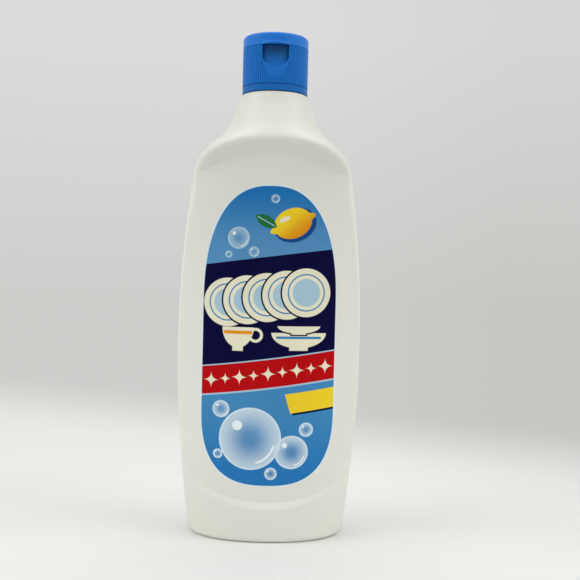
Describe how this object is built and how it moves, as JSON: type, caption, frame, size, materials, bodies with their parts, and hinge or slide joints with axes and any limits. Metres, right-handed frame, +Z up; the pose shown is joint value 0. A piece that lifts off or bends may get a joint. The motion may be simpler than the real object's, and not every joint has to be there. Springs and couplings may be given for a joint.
{
  "type": "dishwasher gel bottle",
  "caption": "Upright squeeze bottle with an oval waisted body, recessed label panel, and a flip-top screw cap that unscrews and opens.",
  "frame": {"origin": "centre of the standing plane under the bottle", "axes": "+Z up along the bottle and neck axis, the labelled front faces -Y, the flip lid's hinge is at +Y"},
  "size_m": [0.0798, 0.0488, 0.215],
  "materials": {
    "bottle": "satin white blow-moulded polyethylene",
    "gel": "opaque lemon-yellow gel",
    "front_label": "printed film, satin",
    "cap_liner": "white foam",
    "cap_base": "satin blue polypropylene",
    "flip_lid": "satin blue polypropylene"
  },
  "bodies": {
    "bottle": {"bottle": "bottle", "gel": "gel", "front_label": "front_label"},
    "seal": {"cap_liner": "cap_liner"},
    "cap": {"cap_base": "cap_base"},
    "lid": {"flip_lid": "flip_lid"}
  },
  "joints": [
    {"name": "cap_lift", "type": "slide", "parent": "bottle", "child": "seal", "axis": [0, 0, 1], "range_m": [0, 0.00477]},
    {"name": "cap_turn", "type": "hinge", "parent": "seal", "child": "cap", "pos_m": [0, 0, 0.2083], "axis": [0, 0, 1], "range_deg": [0, 540]},
    {"name": "lid_flip", "type": "hinge", "parent": "cap", "child": "lid", "pos_m": [0, 0.0145, 0.20975], "axis": [-1, 0, 0], "range_deg": [0, 170]}
  ],
  "couplings": [
    {"joint": "cap_lift", "follows": "cap_turn", "m_per_rad": 0.00050532}
  ]
}
